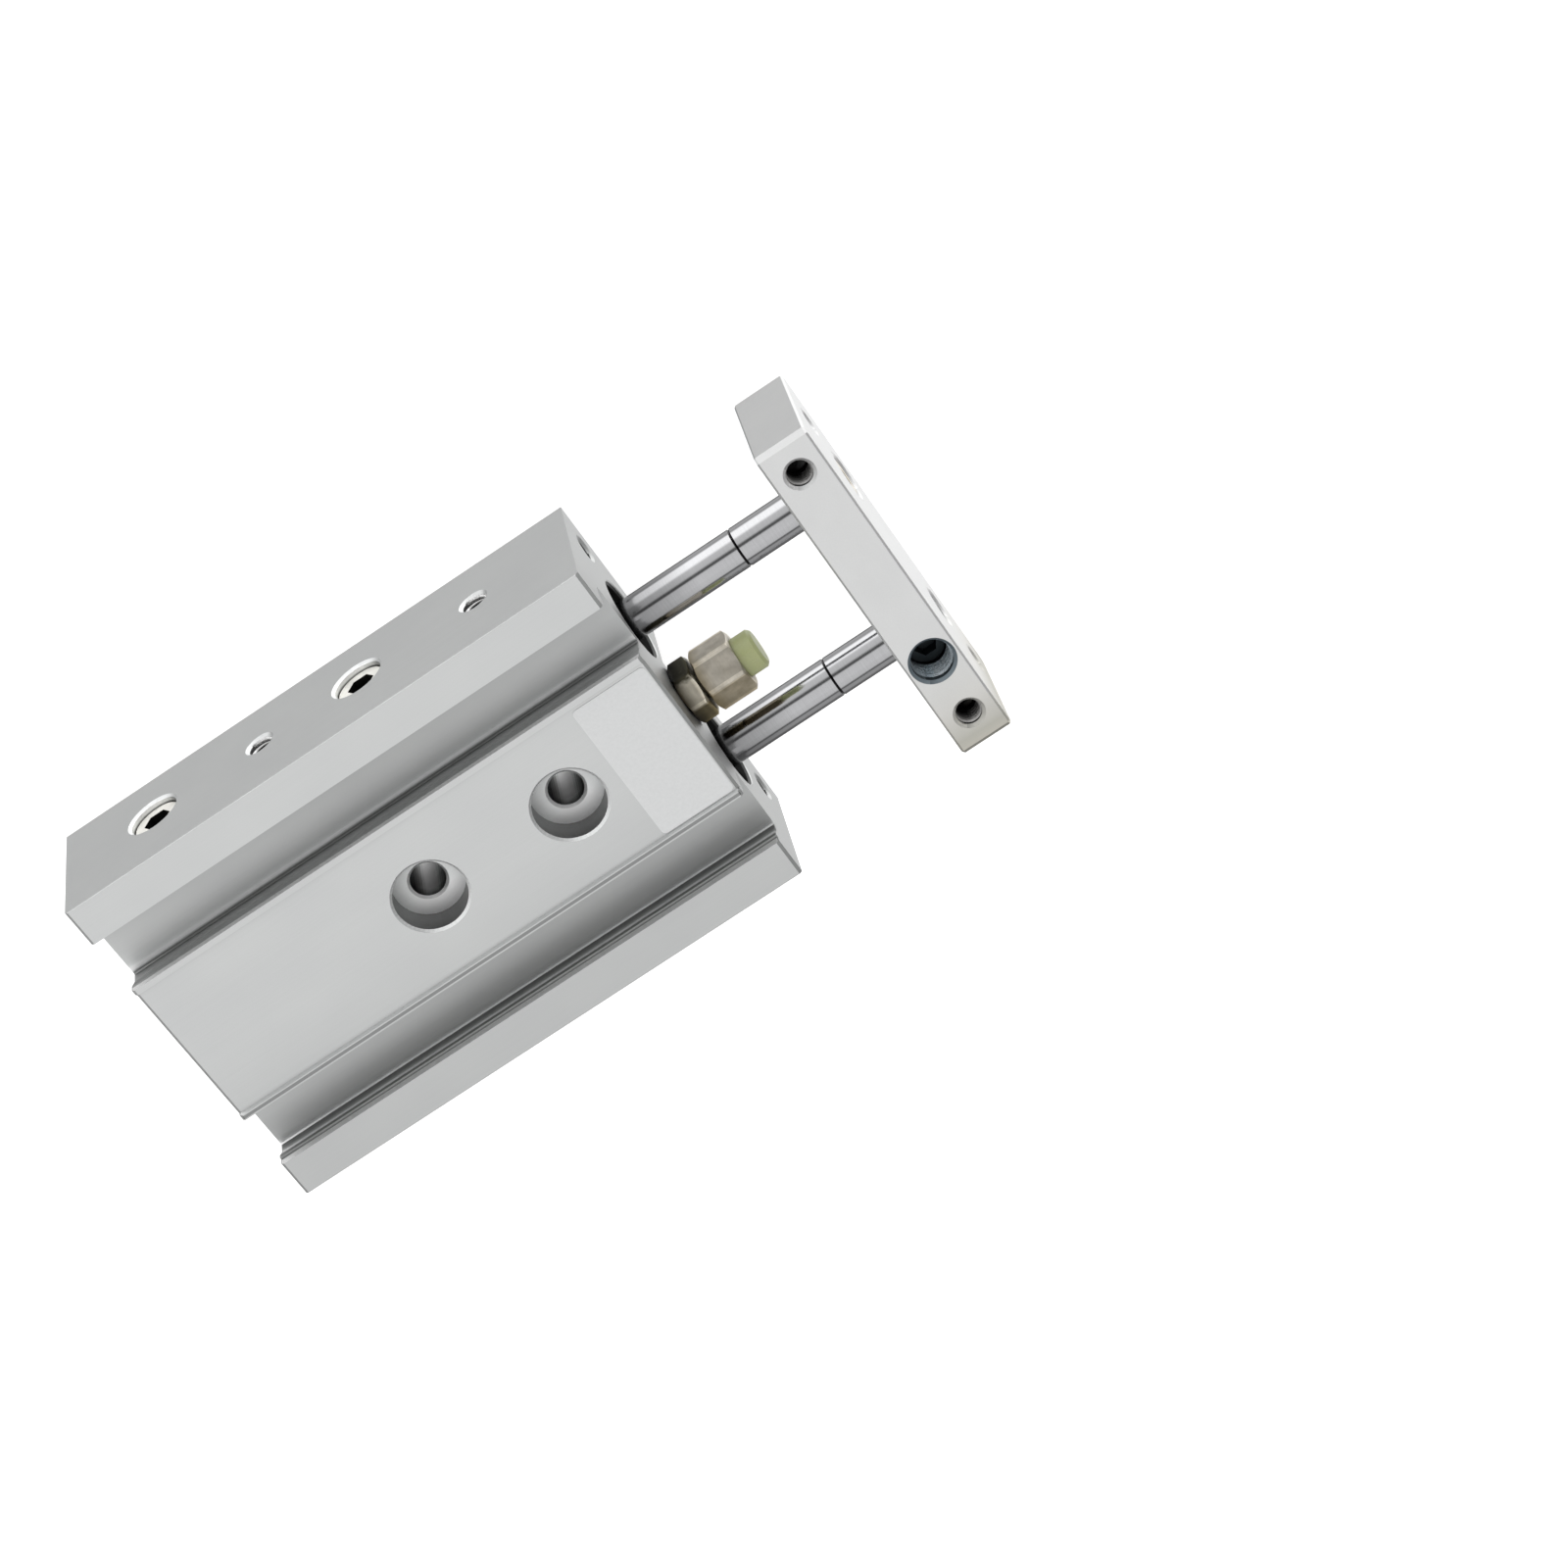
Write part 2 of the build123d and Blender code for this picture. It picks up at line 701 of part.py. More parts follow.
with BuildPart() as bumper:
    turn(
        [
            (bolt_head_front - bumper_stem_length, 0),
            (bolt_head_front - bumper_stem_length, bumper_stem_diameter / 2),
            (bolt_head_front, bumper_stem_diameter / 2),
            (bolt_head_front, bumper_diameter / 2),
            (bumper_tip - bumper_rim, bumper_diameter / 2),
            (bumper_tip, bumper_diameter / 2 - bumper_rim),
            (bumper_tip, 0),
        ],
        0,
        adjuster_height,
    )

with BuildPart() as lock_nut:
    hexagon_bar(nut_rear, lock_nut_thickness, 0, adjuster_height, hexagon_width, angle=lock_nut_turn)
    turn(
        hexagon_envelope(nut_rear, lock_nut_thickness, hexagon_width),
        0,
        adjuster_height,
        mode=Mode.INTERSECT,
    )
    nut_mouth = (nut_front, 0, adjuster_height)
    drill(nut_mouth, (-1, 0, 0), thread_diameter + 2 * running_gap, lock_nut_thickness)

# Plugs in the two ports that are not piped
with BuildPart() as port_plugs:
    for x in (rear_port, front_port):
        with BuildSketch(Plane.XZ.offset(-side + plug_face_depth)) as plug_face:
            with Locations((x, port_height)):
                Circle(port_thread / 2)
        extrude(plug_face.sketch, amount=plug_length)
    chamfer(port_plugs.edges().filter_by(GeomType.CIRCLE), plug_chamfer)
    for x in (rear_port, front_port):
        with BuildSketch(Plane.XZ.offset(-side + plug_face_depth)) as plug_socket:
            with Locations((x, port_height)):
                RegularPolygon(plug_hexagon / 2, 6, major_radius=False)
        extrude(plug_socket.sketch, amount=socket_depth, mode=Mode.SUBTRACT)

pieces = {
    "cylinder_body": cylinder_body,
    "head_cover_a": head_cover_a,
    "head_cover_b": head_cover_b,
    "head_seal_a": head_seal_a,
    "head_seal_b": head_seal_b,
    "head_retaining_rings": head_retaining_rings,
    "rod_cover_a": rod_cover_a,
    "rod_cover_b": rod_cover_b,
    "cover_seal_a": cover_seal_a,
    "cover_seal_b": cover_seal_b,
    "rod_seal_a": rod_seal_a,
    "rod_seal_b": rod_seal_b,
    "seal_retainer_a": seal_retainer_a,
    "seal_retainer_b": seal_retainer_b,
    "rod_retaining_rings": rod_retaining_rings,
    "piston_a": piston_a,
    "piston_b": piston_b,
    "piston_seal_a": piston_seal_a,
    "piston_seal_b": piston_seal_b,
    "magnet_a": magnet_a,
    "magnet_b": magnet_b,
    "magnet_holder_a": magnet_holder_a,
    "magnet_holder_b": magnet_holder_b,
    "stop_cushion_a": stop_cushion_a,
    "stop_cushion_b": stop_cushion_b,
    "piston_rod_a": piston_rod_a,
    "piston_rod_b": piston_rod_b,
    "end_plate": end_plate,
    "rod_a_screw": rod_a_screw,
    "rod_b_set_screw": rod_b_set_screw,
    "bumper_bolt": bumper_bolt,
    "bumper": bumper,
    "lock_nut": lock_nut,
    "port_plugs": port_plugs,
}

os.makedirs("parts", exist_ok=True)
for name, piece in pieces.items():
    piece.part.label = name
    export_step(piece.part, f"parts/{name}.step")
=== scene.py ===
"""Finishes, threads, label and studio for the guided pneumatic cylinder."""
import math
from collections import namedtuple

import bmesh
import bpy
from mathutils import Matrix, Vector


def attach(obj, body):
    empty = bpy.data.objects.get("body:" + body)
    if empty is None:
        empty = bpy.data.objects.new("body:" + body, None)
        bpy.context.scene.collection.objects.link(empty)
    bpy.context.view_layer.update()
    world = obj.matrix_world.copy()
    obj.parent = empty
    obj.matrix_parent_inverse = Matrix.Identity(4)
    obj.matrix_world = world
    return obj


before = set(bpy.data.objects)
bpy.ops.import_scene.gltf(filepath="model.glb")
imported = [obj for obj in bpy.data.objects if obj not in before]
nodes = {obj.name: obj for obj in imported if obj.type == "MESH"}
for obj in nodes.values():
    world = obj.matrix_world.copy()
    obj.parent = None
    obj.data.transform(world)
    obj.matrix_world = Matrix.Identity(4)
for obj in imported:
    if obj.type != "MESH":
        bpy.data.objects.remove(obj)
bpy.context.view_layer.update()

MM = 0.001

# Places in millimetres, from the model's own sizes
BODY_FRONT = 21.1
BODY_REAR = -34.9
BODY_SIDE = 18.5
BODY_TOP = 16.0
SLOT_FLOOR = 11.8
SLOT_INNER_WALL = 8.55
SLOT_OUTER_WALL = 14.5
MIDDLE_LAND_SIDE = 8.0
COUNTERBORE = (7.7, 0.0)
COUNTERBORE_FLOOR = 12.35
ROD_SIDE = 8.0
ROD_HEIGHT = 6.5
END_SCREW_SIDE = 15.0
END_SCREW_HEIGHT = 3.3
PORTS = (-25.1, -2.3)
PORT_HEIGHT = 7.35
SIDE_SCREWS = (-13.1, 10.6)
SIDE_SCREW_HEIGHT = 7.5
LABEL_BED = 15.65
BOLT_HEIGHT = 9.35
PLATE_FRONT = 44.8
PLATE_MIDDLE = 42.15
PLATE_TOP = 15.4
PLATE_SCREWS = (-14.4, 14.4)
CLAMP_SIDE = -8.0

# Radii in millimetres that take in a hole's wall, and a little more
AROUND_M3 = 1.27
AROUND_COUNTERBORE = 3.55
AROUND_THROUGH_HOLE = 1.75
AROUND_BORE = 4.5
AROUND_PORT = 2.55
AROUND_CLAMP_HOLE = 2.4

Parts = namedtuple("Parts", "x y z")
Screw = namedtuple("Screw", "radius start pitch height")

M3 = Screw(1.25, 0.4, 0.5, 0.14)
M4 = Screw(2.01, 0.6, 0.7, 0.18)
M5 = Screw(2.1, 0.8, 0.8, 0.2)


# Nodes


def shader(name, base, metallic, roughness):
    """A material with one Principled shader, and its node tree."""
    material = bpy.data.materials.new(name)
    material.use_nodes = True
    tree = material.node_tree
    principled = tree.nodes["Principled BSDF"]
    principled.inputs["Base Color"].default_value = (*base, 1.0)
    principled.inputs["Metallic"].default_value = metallic
    principled.inputs["Roughness"].default_value = roughness
    return material, tree, principled


def coordinates(tree, scale):
    """The object's own coordinates in millimetres, stretched by a scale along each axis."""
    source = tree.nodes.new("ShaderNodeTexCoord")
    mapping = tree.nodes.new("ShaderNodeMapping")
    mapping.inputs["Scale"].default_value = tuple(s / MM for s in scale)
    tree.links.new(source.outputs["Object"], mapping.inputs["Vector"])
    return mapping.outputs["Vector"]


def noise(tree, scale, detail=4.0, rough=0.55):
    """Noise whose grain is stretched by the scale along each axis, per millimetre."""
    texture = tree.nodes.new("ShaderNodeTexNoise")
    texture.inputs["Scale"].default_value = 1.0
    texture.inputs["Detail"].default_value = detail
    texture.inputs["Roughness"].default_value = rough
    tree.links.new(coordinates(tree, scale), texture.inputs["Vector"])
    return texture.outputs["Fac"]


def grey(tone):
    return (tone, tone, tone)


def shade(color, k):
    return tuple(c * k for c in color)


def ramp(tree, factor, stops):
    """A colour ramp over a factor; stops are (position, colour)."""
    node = tree.nodes.new("ShaderNodeValToRGB")
    elements = node.color_ramp.elements
    while len(elements) > 1:
        elements.remove(elements[-1])
    elements[0].position = stops[0][0]
    elements[0].color = (*stops[0][1], 1.0)
    for position, color in stops[1:]:
        element = elements.new(position)
        element.color = (*color, 1.0)
    tree.links.new(factor, node.inputs["Fac"])
    return node.outputs["Color"]


def spread(tree, factor, low, high, start=0.3, end=0.7):
    """Maps a factor to a range of values."""
    node = tree.nodes.new("ShaderNodeMapRange")
    node.inputs["From Min"].default_value = start
    node.inputs["From Max"].default_value = end
    node.inputs["To Min"].default_value = low
    node.inputs["To Max"].default_value = high
    tree.links.new(factor, node.inputs["Value"])
    return node.outputs["Result"]


def tones_along(tree, factor, stops):
    """Colours along a coordinate; stops are (place, colour or grey tone)."""
    start, end = stops[0][0], stops[-1][0]
    part = spread(tree, factor, 0.0, 1.0, start, end)
    placed = []
    for place, tone in stops:
        color = tone if isinstance(tone, tuple) else grey(tone)
        placed.append(((place - start) / (end - start), color))
    return ramp(tree, part, placed)


def feed(tree, socket, value):
    """Puts a number, a colour or another node's output into a socket."""
    if isinstance(value, bpy.types.NodeSocket):
        tree.links.new(value, socket)
    elif isinstance(value, tuple):
        socket.default_value = (*value, 1.0)
    else:
        socket.default_value = value


def blend(tree, first, second, factor, kind="MIX"):
    """Mixes two colours by a factor."""
    node = tree.nodes.new("ShaderNodeMix")
    node.data_type = "RGBA"
    node.blend_type = kind
    feed(tree, node.inputs[0], factor)
    feed(tree, node.inputs[6], first)
    feed(tree, node.inputs[7], second)
    return node.outputs[2]


def tint(tree, color, tone, mask=1.0):
    """Multiplies a colour by a grey tone, a colour or an output, where a mask is 1."""
    if isinstance(tone, float):
        tone = grey(tone)
    return blend(tree, color, tone, mask, "MULTIPLY")


def number(tree, operation, *values):
    """A math node over outputs and numbers."""
    node = tree.nodes.new("ShaderNodeMath")
    node.operation = operation
    for socket, value in zip(node.inputs, values):
        feed(tree, socket, value)
    return node.outputs["Value"]


def split(tree, vector):
    """The three parts of a vector."""
    node = tree.nodes.new("ShaderNodeSeparateXYZ")
    tree.links.new(vector, node.inputs["Vector"])
    return Parts(node.outputs["X"], node.outputs["Y"], node.outputs["Z"])


def where(tree):
    """A point's place in its object's own coordinates, in millimetres."""
    return split(tree, coordinates(tree, (1.0, 1.0, 1.0)))


def facing(tree):
    """The three parts of the surface's direction."""
    return split(tree, tree.nodes.new("ShaderNodeNewGeometry").outputs["True Normal"])


def above(tree, value, limit):
    """1 where a value is over a limit, and 0 elsewhere."""
    return number(tree, "GREATER_THAN", value, limit)


def below(tree, value, limit):
    """1 where a value is under a limit, and 0 elsewhere."""
    return number(tree, "LESS_THAN", value, limit)


def within(tree, value, low, high):
    """1 where a value lies between two limits, and 0 elsewhere."""
    return number(tree, "COMPARE", value, (low + high) / 2, (high - low) / 2)


def both(tree, first, *others):
    """1 where every mask is 1."""
    for mask in others:
        first = number(tree, "MULTIPLY", first, mask)
    return first


def around(tree, across, up, centre, radius):
    """1 within a radius of a round hole's axis, which goes through centre."""
    node = tree.nodes.new("ShaderNodeCombineXYZ")
    tree.links.new(across, node.inputs["X"])
    tree.links.new(up, node.inputs["Y"])
    gap = tree.nodes.new("ShaderNodeVectorMath")
    gap.operation = "DISTANCE"
    tree.links.new(node.outputs["Vector"], gap.inputs[0])
    gap.inputs[1].default_value = (*centre, 0.0)
    return below(tree, gap.outputs["Value"], radius)


def bump(tree, principled, height, strength, distance, under=None):
    """Bump from a height, laid over another bump where one is given."""
    node = tree.nodes.new("ShaderNodeBump")
    node.inputs["Strength"].default_value = strength
    node.inputs["Distance"].default_value = distance
    tree.links.new(height, node.inputs["Height"])
    if under is not None:
        tree.links.new(under, node.inputs["Normal"])
    tree.links.new(node.outputs["Normal"], principled.inputs["Normal"])
    return node.outputs["Normal"]


def painted_hollow_shade(tree, color, reach, darkest, alone):
    """Painted shade: darkens a colour in holes and corners; alone leaves the other objects out."""
    node = tree.nodes.new("ShaderNodeAmbientOcclusion")
    node.samples = 12
    node.only_local = alone
    node.inputs["Distance"].default_value = reach
    tone = ramp(tree, node.outputs["AO"], [(0.25, grey(darkest)), (0.95, grey(1.0))])
    return tint(tree, color, tone)


# Aluminium


def anodised(name, base, roughness, streak):
    """Matt clear-anodised aluminium: fine blasted grain, faint lines along the streak, and painted
    shade in holes and corners.
    """
    material, tree, principled = shader(name, base, 1.0, roughness)
    lines = noise(tree, streak, detail=3.0)
    grain = noise(tree, (9.0, 9.0, 9.0), detail=3.0, rough=0.7)
    cloud = noise(tree, (0.09, 0.12, 0.12), detail=2.0)
    color = ramp(tree, lines, [(0.3, shade(base, 0.99)), (0.7, shade(base, 1.01))])
    color = tint(tree, color, ramp(tree, grain, [(0.25, grey(0.93)), (0.75, grey(1.0))]))
    color = tint(tree, color, ramp(tree, cloud, [(0.3, (0.965, 0.965, 0.97)), (0.7, grey(1.0))]))
    color = painted_hollow_shade(tree, color, 3.0 * MM, 0.75, alone=True)
    rough = spread(tree, grain, roughness - 0.05, roughness + 0.06)
    tree.links.new(rough, principled.inputs["Roughness"])
    first = bump(tree, principled, lines, 0.04, 0.00002)
    bump(tree, principled, grain, 0.25, 0.00002, under=first)
    return material, tree, principled, color


def painted_slot_light(tree, color, at, faces):
    """Painted light and shade on the floors, brighter beside their walls; painted shade on the
    walls, with painted highlight bands from foot to top, and a painted shadow line beside one lip.
    """
    in_slot = within(tree, number(tree, "ABSOLUTE", at.y), MIDDLE_LAND_SIDE, 14.9)
    plus_half = above(tree, at.y, 0.0)
    minus_half = below(tree, at.y, 0.0)
    upward = above(tree, faces.z, 0.7)
    floor = both(tree, upward, within(tree, at.z, SLOT_FLOOR - 0.1, SLOT_FLOOR + 0.2), in_slot)
    # Painted light and shade along the floors in X.
    along = tones_along(tree, at.x, [(BODY_REAR, 1.03), (-6.9, 0.89), (BODY_FRONT, 0.94)])
    color = tint(tree, color, along, floor)
    # Painted light and shade across the floors, by distance from each wall.
    floor_light_from_inner_wall = [
        (-0.45, 0.5), (-0.25, 0.48), (-0.05, 1.4), (0.13, 2.3), (0.3, 1.5), (0.5, 1.22),
        (0.8, 1.05), (1.2, 0.97), (2.0, 0.89), (4.0, 0.82),
    ]
    floor_light_from_outer_wall = [
        (-0.5, 0.58), (-0.29, 1.9), (-0.07, 1.8), (0.15, 1.18), (0.37, 0.93), (0.81, 0.84),
        (1.25, 0.81), (1.7, 0.79), (2.6, 0.81), (3.3, 0.85),
    ]
    for wall, half, tones in (
        (SLOT_INNER_WALL, plus_half, floor_light_from_inner_wall),
        (-SLOT_OUTER_WALL, minus_half, floor_light_from_outer_wall),
    ):
        distance = number(tree, "SUBTRACT", at.y, wall)
        color = tint(tree, color, tones_along(tree, distance, tones), both(tree, floor, half))

    upright = within(tree, faces.z, -0.5, 0.5)
    between_ends = within(tree, at.x, BODY_REAR + 0.1, BODY_FRONT - 0.1)
    height = within(tree, at.z, SLOT_FLOOR, BODY_TOP - 0.01)
    walls = both(tree, upright, between_ends, in_slot, height)
    # Painted shade on the slots' walls.
    color = tint(tree, color, 0.5, walls)
    # Painted highlight bands and shade up the walls that face +Y.
    wall_light_up_inner = [
        (11.9, 0.8), (12.2, 1.5), (13.9, 1.6), (14.3, 1.35), (15.2, 1.57), (15.4, 3.6), (15.9, 3.8),
    ]
    wall_light_up_outer = [
        (12.0, 0.6), (12.6, 0.9), (13.0, 1.8), (13.3, 3.9), (13.7, 3.9), (14.1, 2.4),
        (14.35, 0.85), (15.05, 1.25), (15.3, 4.4), (15.9, 4.6),
    ]
    lit_walls = both(tree, walls, above(tree, faces.y, 0.5))
    for half, tones in ((plus_half, wall_light_up_inner), (minus_half, wall_light_up_outer)):
        color = tint(tree, color, tones_along(tree, at.z, tones), both(tree, lit_walls, half))
    # A painted shadow line along the top between y -8.4 and -8.08.
    on_top = above(tree, at.z, BODY_TOP - 0.1)
    lip = both(tree, upward, within(tree, at.y, -8.4, -8.08), on_top)
    return tint(tree, color, 0.5, lip)


def painted_counterbore_light(tree, color, at, faces):
    """Painted shade on the walls, painted light fading across the floors, a painted highlight down
    the holes' walls that face +Y, and painted highlights on the rims.
    """
    from_middle = number(tree, "ABSOLUTE", at.x)
    upright = within(tree, faces.z, -0.5, 0.5)
    inside = around(tree, from_middle, at.y, COUNTERBORE, AROUND_COUNTERBORE)
    wall_height = within(tree, at.z, COUNTERBORE_FLOOR + 0.01, LABEL_BED - 0.25)
    # Painted shade on the counterbores' walls.
    color = tint(tree, color, 0.38, both(tree, upright, inside, wall_height))
    floor_height = within(tree, at.z, COUNTERBORE_FLOOR - 0.25, COUNTERBORE_FLOOR + 0.03)
    floor = both(tree, above(tree, faces.z, 0.7), inside, floor_height)
    # Painted light across the floors, fading towards +Y.
    floor_light_across = tones_along(tree, at.y, [(-3.5, 2.2), (0.0, 1.25), (3.5, 0.75)])
    color = tint(tree, color, floor_light_across, floor)

    through = around(tree, from_middle, at.y, COUNTERBORE, AROUND_THROUGH_HOLE)
    through = both(tree, upright, through, within(tree, at.z, 0.3, COUNTERBORE_FLOOR - 0.25))
    # A painted highlight on the through holes' walls that face +Y, painted shade on the others,
    # dimmer near the top.
    along_y = number(tree, "MULTIPLY", faces.y, 0.96)
    along_x = number(tree, "MULTIPLY", faces.x, 0.28)
    toward_light = number(tree, "ADD", along_y, along_x)
    stripe = tones_along(tree, toward_light, [(0.5, 0.12), (0.78, 0.8), (0.97, 2.0)])
    stripe = tint(tree, stripe, spread(tree, at.z, 1.0, 0.15, 10.7, COUNTERBORE_FLOOR - 0.25))
    color = tint(tree, color, stripe, through)
    # Painted highlights on the rims.
    rim = around(tree, from_middle, at.y, COUNTERBORE, AROUND_COUNTERBORE + 0.25)
    return tint(tree, color, 1.45, both(tree, within(tree, faces.z, 0.6, 0.8), rim))


def painted_end_shade(tree, color, at, faces):
    """Painted shade on the sawn ends, and on the bores and screw holes that open in them."""
    between_ends = within(tree, at.x, BODY_REAR + 0.1, BODY_FRONT - 0.1)
    # Painted shade on the end faces.
    sawn = within(tree, number(tree, "ABSOLUTE", faces.x), 0.9, 1.1)
    at_end = number(tree, "SUBTRACT", 1.0, between_ends)
    color = tint(tree, color, 0.72, both(tree, sawn, at_end))
    # Painted shade in the bores and end screw holes.
    beside = number(tree, "ABSOLUTE", at.y)
    for centre, radius in (
        ((ROD_SIDE, ROD_HEIGHT), AROUND_BORE),
        ((END_SCREW_SIDE, END_SCREW_HEIGHT), AROUND_M3),
    ):
        inside = around(tree, beside, at.z, centre, radius)
        color = tint(tree, color, 0.12, both(tree, inside, between_ends))
    return color


def painted_side_hole_light(tree, color, at, faces):
    """Ports and screw holes of the +Y side: painted shade deep inside and on the ports' +X walls,
    and painted highlights on the mouths towards -X.
    """
    near_side = above(tree, at.y, 14.0)
    chamfer = within(tree, faces.y, 0.5, 0.9)
    # Painted shade deeper in the ports.
    port_depth_shade = spread(tree, at.y, 0.12, 1.5, 17.76, 17.98)
    for x in PORTS:
        centre = (x, PORT_HEIGHT)
        inside = both(tree, near_side, around(tree, at.x, at.z, centre, AROUND_PORT))
        color = tint(tree, color, port_depth_shade, inside)
        # Painted shade on the port's +X wall.
        color = tint(tree, color, spread(tree, at.x, 1.0, 0.3, x + 0.6, x + 2.2), inside)
        # A painted highlight on the port's mouth towards -X, painted shade towards +X.
        mouth = around(tree, at.x, at.z, centre, AROUND_PORT + 0.3)
        mouth = both(tree, mouth, chamfer, near_side)
        color = tint(tree, color, spread(tree, at.x, 1.45, 0.9, x - 0.6, x + 2.6), mouth)
    # Painted shade deeper in the screw holes.
    screw_depth_shade = tones_along(tree, at.y, [(16.5, 0.03), (17.76, 0.04), (17.94, 0.6)])
    for x in SIDE_SCREWS:
        centre = (x, SIDE_SCREW_HEIGHT)
        inside = both(tree, near_side, around(tree, at.x, at.z, centre, AROUND_M3))
        color = tint(tree, color, screw_depth_shade, inside)
        # A painted highlight on the screw hole's mouth towards -X, painted shade towards +X.
        mouth = around(tree, at.x, at.z, centre, AROUND_M3 + 0.48)
        mouth = both(tree, mouth, chamfer, near_side)
        color = tint(tree, color, spread(tree, at.x, 1.4, 0.8, x - 0.8, x + 1.4), mouth)
    return color


def body_metal():
    """The extrusion's finish, with painted light and shade on its faces, slots, counterbores, ends
    and side holes.
    """
    material, tree, principled, color = anodised(
        "anodised_extrusion", (0.68, 0.69, 0.685), 0.48, (0.04, 7.0, 7.0)
    )
    at = where(tree)
    faces = facing(tree)
    # Painted light on the upward faces, varying across Y.
    across = [(-BODY_SIDE, 0.93), (-11.1, 0.96), (-1.85, 1.06), (11.1, 1.09)]
    upward = above(tree, faces.z, 0.7)
    color = tint(tree, color, tones_along(tree, at.y, across), upward)
    # Painted shade on the +Y faces.
    color = tint(tree, color, 0.95, within(tree, faces.y, 0.95, 1.1))
    color = painted_slot_light(tree, color, at, faces)
    color = painted_counterbore_light(tree, color, at, faces)
    color = painted_end_shade(tree, color, at, faces)
    color = painted_side_hole_light(tree, color, at, faces)
    tree.links.new(color, principled.inputs["Base Color"])
    return material


def lit_side(tree, at):
    """1 on the side that catches light in the threaded holes of the plate's top, else 0."""
    total = 0.0
    from_axis = number(tree, "SUBTRACT", at.x, PLATE_MIDDLE)
    for y in PLATE_SCREWS:
        across = number(tree, "SUBTRACT", at.y, y)
        offset = number(tree, "SUBTRACT", from_axis, across)
        near = within(tree, across, -1.4, 1.4)
        here = both(tree, near, spread(tree, offset, 0.0, 0.75, 0.7, 1.75))
        total = number(tree, "ADD", here, total)
    return total


def plate_metal():
    """The plate's finish: painted shade on its +Y end, a painted highlight on its chamfers, darker
    and yellower towards the clamped rod's end, and painted light and shade in its holes.
    """
    material, tree, principled, color = anodised(
        "anodised_plate", (0.81, 0.815, 0.81), 0.46, (0.5, 0.35, 6.0)
    )
    at = where(tree)
    faces = facing(tree)
    # Painted shade on the +Y end.
    color = tint(tree, color, 0.9, within(tree, faces.y, 0.9, 1.1))
    # A painted highlight on the chamfers that slope between +X and +Z.
    sloping = both(tree, within(tree, faces.x, 0.4, 0.95), within(tree, faces.z, 0.4, 0.95))
    color = tint(tree, color, 1.5, sloping)
    # Darker and yellower towards -Y, with a darker band near y -16.5.
    darker_yellower_to_minus_y = [
        (-18.0, (0.8, 0.77, 0.68)),
        (-16.5, (0.7, 0.685, 0.62)),
        (-15.9, (0.775, 0.76, 0.705)),
        (-13.0, (0.945, 0.93, 0.9)),
        (-11.0, (0.955, 0.95, 0.935)),
        (-6.0, (1.0, 1.0, 1.0)),
    ]
    color = tint(tree, color, tones_along(tree, at.y, darker_yellower_to_minus_y))
    # Painted shade, with a bluish tint, on the clamping screw's hole wall.
    in_clamp_hole = both(
        tree,
        around(tree, at.x, at.y, (PLATE_MIDDLE, CLAMP_SIDE), AROUND_CLAMP_HOLE),
        within(tree, faces.z, -0.5, 0.9),
        within(tree, at.z, 9.0, PLATE_TOP - 0.01),
    )
    color = tint(tree, color, (0.28, 0.33, 0.37), in_clamp_hole)
    # Painted shade in the threaded holes of the top, lighter on the side that catches light.
    hole_wall_light_and_shade = blend(tree, grey(0.08), grey(0.9), lit_side(tree, at))
    for y in PLATE_SCREWS:
        inside = around(tree, at.x, at.y, (PLATE_MIDDLE, y), AROUND_M3)
        in_hole = both(tree, inside, within(tree, at.z, 9.0, PLATE_TOP - 0.3))
        color = tint(tree, color, hole_wall_light_and_shade, in_hole)
    tree.links.new(color, principled.inputs["Base Color"])
    return material


# Painted light and shade on the machined pieces


def hex_highlights_and_shade(tree, color):
    """Painted highlights on a hexagon's corners, its facets' own mottling, and painted shade on its
    -Y facet.
    """
    at = where(tree)
    mottle = noise(tree, (0.7, 0.7, 0.7), detail=3.0)
    color = tint(tree, color, ramp(tree, mottle, [(0.35, (0.82, 0.81, 0.78)), (0.65, grey(1.15))]))
    # Painted highlights on the corners.
    inside = around(tree, at.y, at.z, (0.0, BOLT_HEIGHT), 3.02)
    color = tint(tree, color, 1.5, number(tree, "SUBTRACT", 1.0, inside))
    # Painted shade on the -Y facet.
    faces = facing(tree)
    shaded_facet = both(tree, below(tree, faces.y, -0.7), within(tree, faces.x, -0.2, 0.2))
    return tint(tree, color, (0.34, 0.31, 0.26), shaded_facet)


def nut_light_and_shade(tree, color):
    """Painted highlights on the corners, painted dark shade on one facet, painted brown shade on
    the next but one, painted shade beside the body, and a painted highlight beside the head.
    """
    color = hex_highlights_and_shade(tree, color)
    at = where(tree)
    # Painted dark shade on the +Y facet, with a ragged edge.
    cloud = noise(tree, (1.1, 1.1, 1.1), detail=3.0)
    edge = number(tree, "ADD", at.y, spread(tree, cloud, -0.35, 0.35))
    color = blend(tree, color, (0.035, 0.032, 0.014), spread(tree, edge, 0.0, 0.96, 1.9, 2.5))
    # Painted brown shade towards -Y.
    color = tint(tree, color, (0.4, 0.35, 0.22), spread(tree, at.y, 1.0, 0.0, -0.7, -0.3))
    # Painted shade beside the body.
    shade_beside_body = spread(tree, at.x, 1.0, 0.0, BODY_FRONT + 0.1, BODY_FRONT + 1.2)
    color = tint(tree, color, (0.08, 0.06, 0.03), shade_beside_body)
    # A painted highlight on the end beside the head.
    return tint(tree, color, spread(tree, at.x, 1.0, 2.2, 22.75, 23.1))


